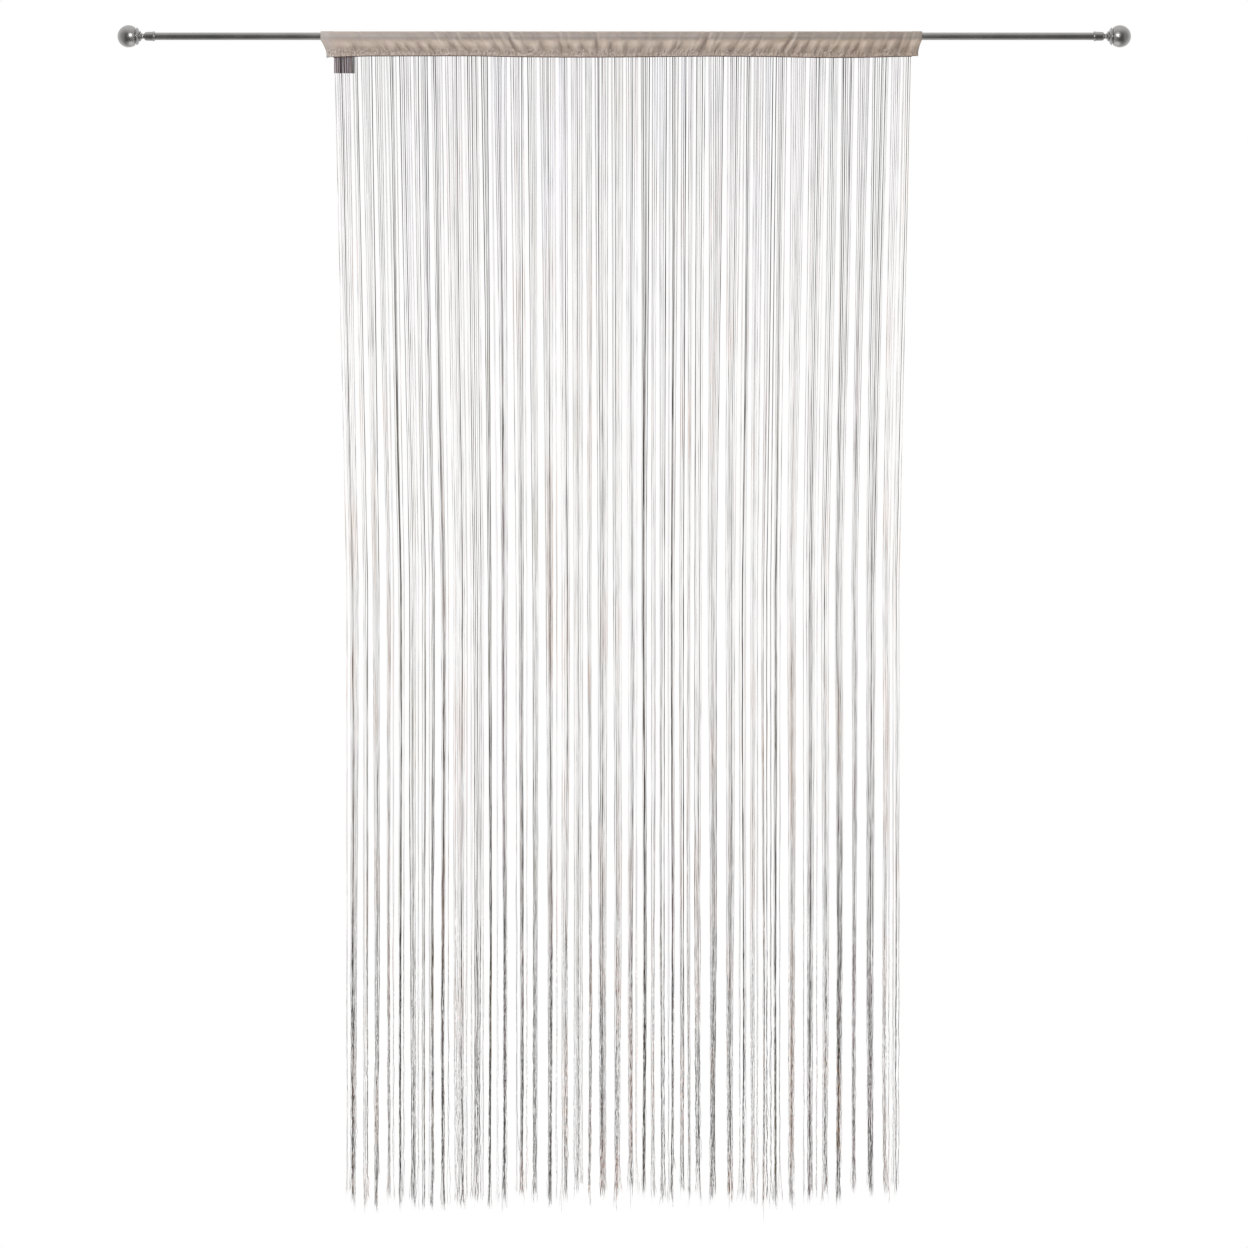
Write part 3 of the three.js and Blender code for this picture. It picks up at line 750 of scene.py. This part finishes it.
# Cut ends: the line they follow, and how much bunches, strings and yarns vary from it
CUT_LINE = [
    (-500, 0), (-450, -14), (-360, -17), (-260, -10), (-130, 0), (-40, 8), (100, -2), (260, -14),
    (330, -10), (400, 9), (492, 10),
]
CUT_BY_BUNCH = 9
CUT_BY_STRING = 9
CUT_BY_YARN = (-8, 9)
LONG_YARN_SHARE = 0.012
LONGER_BY = (15, 34)
SHORT_YARN_SHARE = 0.13
SHORTER_BY = (15, 70)
# Yarns: three to a string, spread at the tape and twined in the bunch, frizzy and splayed near the cut
YARNS_EACH = 3
YARN_RADII = (0.17, 0.30)
YARN_SIDES = 4
YARN_TURN = 0.4
YARN_TUCKED_IN = 1.6
SLIMMED = 0.84
UPPER_STEPS = 50
LOWER_STEPS = 48
LOWER_FROM = 0.78
TIP_WELD = 0.02
ROOT_SPREAD = (0.35, 1.35)
DARK_ROOT_SPREAD = 0.42
ROOT_SHIFT = 0.85
CLUSTER_SPREAD = 0.36
TWIRL_FALL = 230
LOOSENESS = (0.24, 1.3)
CRIMP = (0.7, 3.0)
CRIMPED_FROM = (1450, 1800)
FRIZZY_SHARE = 0.35
SPLAY_FROM = 0.962
SPLAYS = (1.4, 5.0)
SPLAYED_SHARE = 0.42


def chance(n):
    """A repeatable number from 0 to 1 for each whole number; each use counts from a start of its own."""
    value = math.sin(n * 12.9898) * 43758.5453
    return value - math.floor(value)


def root_of(n):
    return lerp(STRING_LEFT, STRING_RIGHT, n / (STRING_COUNT - 1))


def bunch_of_strings(bunch, first, size):
    """The strings of one bunch: where each starts, how it joins the others and where it is cut."""
    centre = (root_of(first) + root_of(first + size - 1)) / 2
    span = SLACK_PULL if chance(bunch + 450) < SLACK_SHARE else TIGHT_PULL
    bend = lerp(*JOIN_BEND, chance(bunch + 750))
    stray_left = size > 2 and chance(bunch + 300) < STRAY_SHARE
    stray_right = size > 2 and chance(bunch + 350) < STRAY_SHARE
    for k in range(size):
        number = first + k
        place = k - (size - 1) / 2
        stray = (k == 0 and stray_left) or (k == size - 1 and stray_right)
        yield {
            "number": number,
            "bunch": bunch,
            "root": lerp(root_of(number), centre, ROOT_PULL),
            "centre": centre,
            "place": place,
            "wide": lerp(*BUNCH_WIDTHS, chance(bunch + 810) ** 2),
            "fall": lerp(*JOIN_FALL, abs(2 * place / size) ** bend),
            "layer": number % BUNCH_LAYERS - 1,
            "pull": lerp(*STRAY_PULL, chance(number + 2100)) if stray else lerp(*span, chance(bunch + 600)),
            "sway": SWAY * lerp(LEAST_SWAY_SHARE, 1, chance(bunch + 900)),
            "phase": math.tau * chance(bunch + 1200),
            "cut": (lerp(-CUT_BY_BUNCH, CUT_BY_BUNCH, chance(bunch + 1500))
                    + lerp(-CUT_BY_STRING, CUT_BY_STRING, chance(number + 1800))),
        }


strings = []
bunch = 0
while len(strings) < STRING_COUNT:
    size = BUNCH_LEAST + math.floor(BUNCH_SPREAD * chance(bunch + 1))
    strings += bunch_of_strings(bunch, len(strings), min(size, STRING_COUNT - len(strings)))
    bunch += 1


def string_point(string, fall):
    """The middle of a string's yarns at a fall below the tape: how far across and how deep."""
    gathered = 1 - math.exp(-fall / string["fall"])
    sway = string["sway"] * math.sin(fall / SWAY_FALL + string["phase"])
    pitch = string["wide"] * lerp(*BUNCH_PITCHES, ramp(fall, 0, BUNCH_CLOSED_AT) ** 2.4)
    bunched = string["centre"] + pitch * string["place"] + sway
    x = lerp(string["root"], bunched, string["pull"] * gathered)
    drift = DEPTH_DRIFT * (fall / -STRING_END) * math.sin(x / DRIFT_WIDTH + fall / DRIFT_FALL)
    narrowed = 1 - NARROWING * min(fall / NARROWING_FALL, 1)
    return x * narrowed, string["layer"] * LAYER_DEPTH * gathered + drift


def yarn_point(yarn, t):
    """The yarn's middle at share t of its length, with its own small waves."""
    string, seed = yarn["string"], yarn["seed"]
    z = lerp(yarn["top"], yarn["end"], t)
    fall = max(TAPE_BOTTOM - z, 0)
    gathered = (1 - math.exp(-fall / string["fall"])) * string["pull"]
    twirl = yarn["phase"] + fall / TWIRL_FALL
    loose = LOOSENESS[0] + LOOSENESS[1] * (fall / DROP) ** 1.5
    crimp = CRIMP[yarn["frizzy"]] * ramp(fall, *CRIMPED_FROM)
    x, y = string_point(string, fall)
    x += (yarn["beside"] * yarn["apart"] + yarn["shift"]) * (1 - gathered)
    x += CLUSTER_SPREAD * gathered * math.cos(twirl)
    y += CLUSTER_SPREAD * gathered * math.sin(twirl)
    x += loose * (rough(seed, z / 95, 1) + 0.6 * rough(seed, z / 41, 5)) + crimp * rough(seed, z / 17, 61)
    y += loose * (rough(seed, z / 88, 11) + 0.5 * rough(seed, z / 37, 15)) + crimp * rough(seed, z / 17, 67)
    x += yarn["splay"] * ramp(t, SPLAY_FROM, 1) ** 1.5
    return x, y, z


# Colours of the yarn: a grey with brown, olive and violet lengths that show more towards the ends. Some
# strings darken towards their lower ends, and single strings and yarns are dark all the way down.
YARN_GREY = (0.299, 0.274, 0.256)
YARN_GREYS = [(0.286, 0.270, 0.325), (0.302, 0.270, 0.286), (0.274, 0.284, 0.276)]
YARN_TINTS = [(0.34, 0.165, 0.085), (0.23, 0.185, 0.090), (0.27, 0.178, 0.200), (0.33, 0.185, 0.095)]
HEAVY_SHARE = 0.58
HEAVY_SHADE = (0.86, 0.97)
LIGHT_SHADE = (0.05, 0.35)
DARK_YARN_SHARE = 0.11
DARK_STRING_SHARE = 0.21
DARK_TONE = (0.10, 0.34)
USUAL_TONE = (1.0, 1.75)
TINTED_TONE = 0.62
PALER_BY = (0.95, 0.8)
GRAIN = (0.10, 0.65)
WARM_DARK = 0.11


def yarn_tone(yarn, z, depth):
    """How pale the yarn is at height z: paler halfway down, darker below, in patches and with flecks, and
    with painted shadow along some lengths of each string.
    """
    string, seed = yarn["string"], yarn["seed"]
    bunch = 5.3 * string["bunch"]
    cloud = rough(bunch, z / 160, 21) + 0.6 * rough(seed, z / 120, 23)
    paler = 1 + PALER_BY[yarn["dark"]] * ramp(depth, 0, 0.3) * ramp(depth, 0.96, 0.62)
    shades = HEAVY_SHADE if chance(string["number"] + 4700) < HEAVY_SHARE else LIGHT_SHADE
    heavy = lerp(*shades, chance(string["number"] + 4500))
    darker = 1 - heavy * ramp(depth, 0.56, 0.88) * clamp(0.85 + 0.9 * cloud, 0, 1)
    # Painted shadow: darker lengths along each string
    painted_shadow_lengths = 1 - 0.60 * ramp(rough(3.1 * string["number"], z / 70, 53), 0.12, 0.22)
    patch = 1 + 0.8 * rough(seed, z / 50, 47)
    fleck = 0.7 * rough(seed, z / 11, 31) + 1.1 * rough(bunch, z / 8, 37)
    grain = 1 + lerp(*GRAIN, ramp(depth, 0.65, 0.85)) * fleck
    return yarn["tone"] * paler * darker * painted_shadow_lengths * patch * grain


def yarn_colour(yarn, z):
    depth = ramp(z, TAPE_BOTTOM, TAPE_BOTTOM - DROP)
    bunch = yarn["string"]["bunch"]
    hue = YARN_GREYS[int(3 * chance(bunch + 4300))]
    tint = YARN_TINTS[int(4 * chance(bunch + 4100))]
    cast = rough(5.3 * bunch, z / 190, 41) + 0.5 * rough(yarn["seed"], z / 150, 43)
    tinted = clamp(3.6 * cast + lerp(-0.6, 0.05, depth), 0, 1) * lerp(0.35, 1.0, depth)
    tone = lerp(yarn_tone(yarn, z, depth), TINTED_TONE, 0.8 * tinted)
    # A dark length keeps more of its red than of its blue
    warmth = clamp(tone, 0.05, 1) ** (WARM_DARK * ramp(depth, 0, 0.4))
    channels = zip(hue, YARN_GREY, tint, (tone / warmth, tone, tone * warmth))
    greyed = min(depth / 0.35, 0.8)
    return [clamp(lerp(lerp(h, g, greyed), c, tinted) * pale, 0, 1) for h, g, c, pale in channels] + [1]


def thread_piece(name, threads, sides, stations, material):
    """Tubes that follow their threads: a ring for each, extruded step by step and closed at its tip."""
    shape = bmesh.new()
    number = shape.verts.layers.int.new("thread_number")
    corner = shape.verts.layers.int.new("thread_corner")
    colour = shape.verts.layers.float_color.new("yarn_colour")
    for n in range(len(threads)):
        ring = bmesh.ops.create_circle(shape, cap_ends=True, segments=sides, radius=1.0)
        for k, vert in enumerate(ring["verts"]):
            vert[number], vert[corner] = n, k
    verts, edges = shape.verts[:], shape.edges[:]
    for t in stations:
        if t:
            made = bmesh.ops.extrude_edge_only(shape, edges=edges)["geom"]
            verts = [item for item in made if isinstance(item, bmesh.types.BMVert)]
            edges = [item for item in made if isinstance(item, bmesh.types.BMEdge) and item.is_boundary]
        middles = [thread["point"](t) for thread in threads]
        shades = [thread["colour"](t) for thread in threads]
        for vert in verts:
            n = vert[number]
            x, y, z = middles[n]
            turn = math.tau * vert[corner] / sides + YARN_TURN + n
            radius = threads[n]["radius"](t)
            vert.co = (x + radius * math.cos(turn), y + radius * math.sin(turn), z)
            vert[colour] = shades[n]
    bmesh.ops.remove_doubles(shape, verts=verts, dist=TIP_WELD)
    bmesh.ops.recalc_face_normals(shape, faces=shape.faces)
    return finish_piece(name, shape, material, "string_fringe", "string_yarn")


PLY_PITCH = 2.2
PLY_LIGHT = 1.12
PLY_DEEP = 0.72
FLECK_PALE = 2.4
FLECK_DARK = 0.20

yarn_fibre, fibre, sockets = new_material("grey_yarn")
dyed = fibre.carried("yarn_colour", "Color")
fuzz = fibre.mottle(fibre.place(), (1800.0, 1800.0, 500.0))
flecks = fibre.mottle(fibre.place(), (520.0, 520.0, 150.0))
_, _, level = fibre.parts(fibre.place())
# Pale and dark flecks on the yarn towards its lower end
low_flecks = level.rise(-1.35, -1.80)
facing_x, facing_y, _ = fibre.parts(fibre.add("ShaderNodeNewGeometry", {}, {}, out="Normal"))
ply = (level * (math.tau / (PLY_PITCH * MM)) + facing_x.bearing(facing_y) * 2.0).sine()
shade = fibre.blend(ply.rise(-1.0, 1.0) * 0.30 + fuzz * 0.25, (PLY_LIGHT,) * 3, (PLY_DEEP,) * 3)
shade = fibre.blend(low_flecks * flecks.rise(0.51, 0.62), shade, (FLECK_PALE,) * 3)
shade = fibre.blend(low_flecks * flecks.rise(0.49, 0.38), shade, (FLECK_DARK,) * 3)
fibre.put(sockets["Base Color"], fibre.blend(1.0, dyed, shade, "MULTIPLY"))
fibre.put(sockets["Roughness"], fuzz * 0.2 + 0.55)
fibre.put(sockets["Sheen Weight"], 0.15)
fibre.put(sockets["Normal"], fibre.relief(ply * 0.5 + fuzz, strength=0.4, depth=0.1))


def yarn_end(string, n):
    end = STRING_END + along(CUT_LINE, string["root"]) + string["cut"] + lerp(*CUT_BY_YARN, chance(n + 5000))
    if chance(n + 5600) < LONG_YARN_SHARE:
        return end - lerp(*LONGER_BY, chance(n + 6200))
    if chance(n + 6800) < SHORT_YARN_SHARE:
        return end + lerp(*SHORTER_BY, chance(n + 7400))
    return end


yarns = []
for string in strings:
    number = string["number"]
    slack = string["pull"] < SLACK_BELOW
    dark_string = chance(number + 8900) < DARK_STRING_SHARE
    bunch_tone = lerp(0.8, 1.2, chance(string["bunch"] + 9500)) * lerp(0.92, 1.1, string["wide"] - 0.8)
    for k in range(YARNS_EACH):
        n = len(yarns)
        dark = dark_string or chance(n + 8000) < DARK_YARN_SHARE
        yarns.append({
            "string": string,
            "number": n,
            "seed": 3.7 * n + 0.35,
            "top": TAPE_BOTTOM + along(EDGE_WAVES, string["root"]) + YARN_TUCKED_IN,
            "end": yarn_end(string, n),
            "beside": k - 1,
            "phase": math.tau * (k / YARNS_EACH + chance(number + 8600)),
            "apart": DARK_ROOT_SPREAD if dark_string else lerp(*ROOT_SPREAD, chance(number + 8300)),
            "shift": lerp(-ROOT_SHIFT, ROOT_SHIFT, chance(number + 8450)),
            "dark": dark,
            "tone": (lerp(*(DARK_TONE if dark else USUAL_TONE), chance(n + 9200)) * bunch_tone
                     * (1.15 if slack else 1.0)),
            "size": lerp(*YARN_RADII, chance(n + 9800)) * (1.65 if dark_string else 0.92 if slack else 1.0),
            "frizzy": chance(n + 9900) < FRIZZY_SHARE,
            "splay": lerp(-1, 1, chance(n + 10500)) * SPLAYS[chance(n + 10900) < SPLAYED_SHARE],
        })


def as_thread(yarn):
    return {
        "point": lambda t: yarn_point(yarn, t),
        "colour": lambda t: yarn_colour(yarn, lerp(yarn["top"], yarn["end"], t)),
        "radius": lambda t: 0.0 if t == 1 else yarn["size"] * lerp(1, SLIMMED, ramp(t, 0, 0.5)),
    }


stations = [LOWER_FROM * n / UPPER_STEPS for n in range(UPPER_STEPS)]
stations += [lerp(LOWER_FROM, 1, n / LOWER_STEPS) for n in range(LOWER_STEPS + 1)]
third = len(yarns) // 3
for n, part in enumerate(("left", "middle", "right")):
    threads = [as_thread(yarn) for yarn in yarns[n * third:(n + 1) * third]]
    thread_piece(f"yarns_{part}", threads, YARN_SIDES, stations, yarn_fibre)


# Loose fibres: where a yarn is cut, its filaments open out into a small curled brush. They are part of
# the yarn and far thinner than it.
WISPS_EACH = 2
WISP_SIDES = 3
WISP_STEPS = 7
WISP_RADIUS = 0.15
WISP_STARTS = (6, 24)
WISP_LENGTHS = (8, 24)
WISP_OUT = 3.6
WISP_BACK = 2.0
WISP_CURL = 1.3


def wisp(yarn, k):
    seed = yarn["seed"] * 1.7 + 40 * k
    n = yarn["number"] * WISPS_EACH + k
    root = yarn_point(yarn, 1 - lerp(*WISP_STARTS, chance(n + 11000)) / (yarn["top"] - yarn["end"]))
    length = lerp(*WISP_LENGTHS, chance(n + 13000))
    out = lerp(-WISP_OUT, WISP_OUT, chance(n + 15000))
    back = lerp(-WISP_BACK, WISP_BACK, chance(n + 17000))

    def point(t):
        return (root[0] + out * t * t + WISP_CURL * t * rough(seed, t * 2.4, 51),
                root[1] + back * t * t + WISP_CURL * t * rough(seed, t * 2.4, 57),
                root[2] - length * t)

    return {
        "point": point,
        "colour": lambda t: yarn_colour(yarn, root[2]),
        "radius": lambda t: WISP_RADIUS * (1 - 0.9 * t),
    }


thread_piece("yarn_wisps", [wisp(yarn, k) for yarn in yarns for k in range(WISPS_EACH)],
             WISP_SIDES, [n / WISP_STEPS for n in range(WISP_STEPS + 1)], yarn_fibre)


# Sewn label: a small blank tab of dark woven tape, hanging behind the strings at the left end. Its upper
# edge is caught in the back of the seam and its sides are heat cut.
LABEL_WIDTH = 35.4
LABEL_CENTRE = -480.3
LABEL_MIDDLE_DEPTH = 3.2
LABEL_THICKNESS = 0.45
LABEL_TOP = -29.5
LABEL_BOTTOM = -63
LABEL_SLANT = 0.3
LABEL_CURL = 2.2
LABEL_BOW = 0.35
LABEL_RIPPLE = 0.25
LABEL_DEEP = (0.036, 0.024, 0.025)
LABEL_LIGHT = (0.088, 0.062, 0.061)
LABEL_RIB_LIGHT = (0.30, 0.240, 0.238)
LABEL_RIB_DEEP = (0.030, 0.020, 0.024)
LABEL_PICK = (0.22, 0.175, 0.185)

tab = bmesh.new()
bmesh.ops.create_grid(tab, x_segments=28, y_segments=26, size=0.5)
for vert in tab.verts:
    over, t = vert.co.x, 0.5 - vert.co.y
    bow = LABEL_BOW * math.cos(math.pi * over) * t + LABEL_RIPPLE * math.sin(over * 5 + t * 4) * t
    vert.co = (LABEL_CENTRE + over * LABEL_WIDTH, LABEL_MIDDLE_DEPTH + LABEL_CURL * t * t + bow,
               lerp(LABEL_TOP, LABEL_BOTTOM, t) - LABEL_SLANT * over)
bmesh.ops.recalc_face_normals(tab, faces=tab.faces)

label_cloth, label, sockets = new_material("label_weave")
_, _, level = label.parts(label.place())
rows = level.waves(0.7)
ribs_down = label.mottle(label.place(), (210.0, 1.0, 4.0))
floats = label.mottle(label.place(), (1500.0, 1.0, 300.0))
smudge = label.mottle(label.place(), 90.0)
body = label.blend((floats * 0.6 + smudge * 0.4).rise(0.3, 0.7), LABEL_DEEP, LABEL_LIGHT)
body = label.blend(ribs_down.rise(0.50, 0.60) * 0.85, body, LABEL_RIB_LIGHT)
body = label.blend(ribs_down.rise(0.44, 0.36) * 0.8, body, LABEL_RIB_DEEP)
label.put(sockets["Base Color"], label.blend(rows.rise(0.2, 1.0) * 0.2, body, LABEL_PICK))
label.put(sockets["Roughness"], floats * 0.2 + 0.42)
label.put(sockets["Sheen Weight"], 0.15)
label.put(sockets["Normal"], label.relief(rows * 0.5 + floats, strength=0.4, depth=0.1))
label_piece = finish_piece("label_tab", tab, label_cloth, "sewn_label", "label_cloth")
tab_thickness = label_piece.modifiers.new("tab_thickness", "SOLIDIFY")
tab_thickness.thickness = LABEL_THICKNESS * MM
tab_thickness.offset = 0
